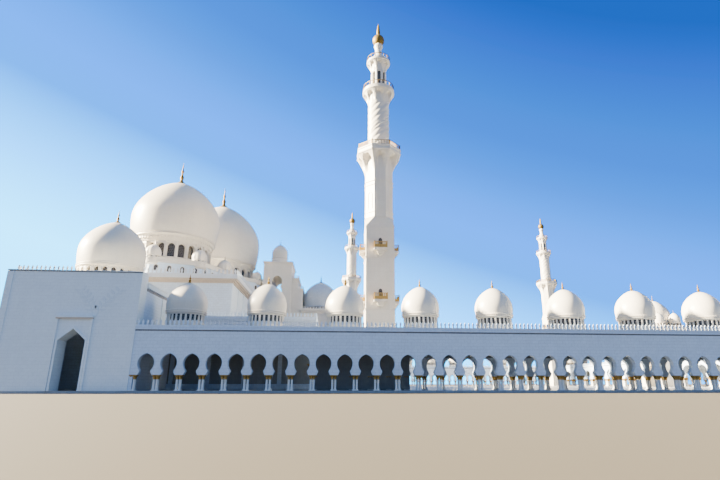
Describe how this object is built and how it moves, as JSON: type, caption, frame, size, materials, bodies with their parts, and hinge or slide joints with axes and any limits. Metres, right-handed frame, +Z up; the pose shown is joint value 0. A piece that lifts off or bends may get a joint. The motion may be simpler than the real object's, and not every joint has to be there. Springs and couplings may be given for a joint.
{
  "type": "domed mosque with court and four minarets, 1:10 scale model",
  "caption": "White marble mosque, 1:10 model: arcaded ranges with onion domes round a court, a domed prayer hall, corner pavilions and tall minarets.",
  "frame": {"origin": "on the ground under the middle of the plan", "axes": "+X east towards the arcaded end, +Y north away from the pictured front, +Z up"},
  "size_m": [24.84, 23.08, 10.7],
  "materials": {
    "marble": "white marble in large honed panels",
    "floor": "honed pale marble paving slabs",
    "dark_glass": "dark brown window glass",
    "gilding": "gold leaf on the finials, capitals and balcony rails"
  },
  "bodies": {
    "root": {"south_floor": "floor", "north_floor": "floor", "middle_floor": "floor", "south_front_arcade_1": "marble", "south_front_arcade_2": "marble", "south_front_arcade_3": "marble", "south_front_arcade_4": "marble", "south_court_arcade": "marble", "south_roof": "marble", "north_front_arcade_1": "marble", "north_front_arcade_2": "marble", "north_court_arcade": "marble", "north_roof": "marble", "east_roof": "marble", "south_pavilion_screen": "marble", "south_pavilion_west_wall": "marble", "south_pavilion_east_wall": "marble", "south_pavilion_roof_and_drum": "marble", "south_pavilion_dome": "marble", "north_pavilion_screen": "marble", "north_pavilion_west_wall": "marble", "north_pavilion_east_wall": "marble", "north_pavilion_roof_and_drum": "marble", "north_pavilion_dome": "marble", "hall_south_wall": "marble", "hall_north_wall": "marble", "hall_west_wall": "marble", "hall_front_arcade_south": "marble", "hall_front_arcade_north": "marble", "hall_low_roof": "marble", "block_walls": "marble", "block_roof": "marble", "south_drum": "marble", "south_dome": "marble", "south_drum_glass": "dark_glass", "central_drum": "marble", "central_dome": "marble", "central_drum_glass": "dark_glass", "north_drum": "marble", "north_dome": "marble", "north_drum_glass": "dark_glass", "portal_tower": "marble", "portal_porch": "marble", "central_dome_base": "marble", "east_court_arcade_north": "marble", "east_court_arcade_south": "marble", "east_front_arcade_1": "marble", "east_front_arcade_2": "marble", "east_front_arcade_3": "marble", "east_front_arcade_4": "marble", "east_gate": "marble", "minaret_north_east": "marble", "minaret_north_west": "marble", "minaret_south_east": "marble", "minaret_south_west": "marble", "north_dome_base": "marble", "north_front_arcade_3": "marble", "north_front_arcade_4": "marble", "south_dome_base": "marble"}
  },
  "joints": []
}
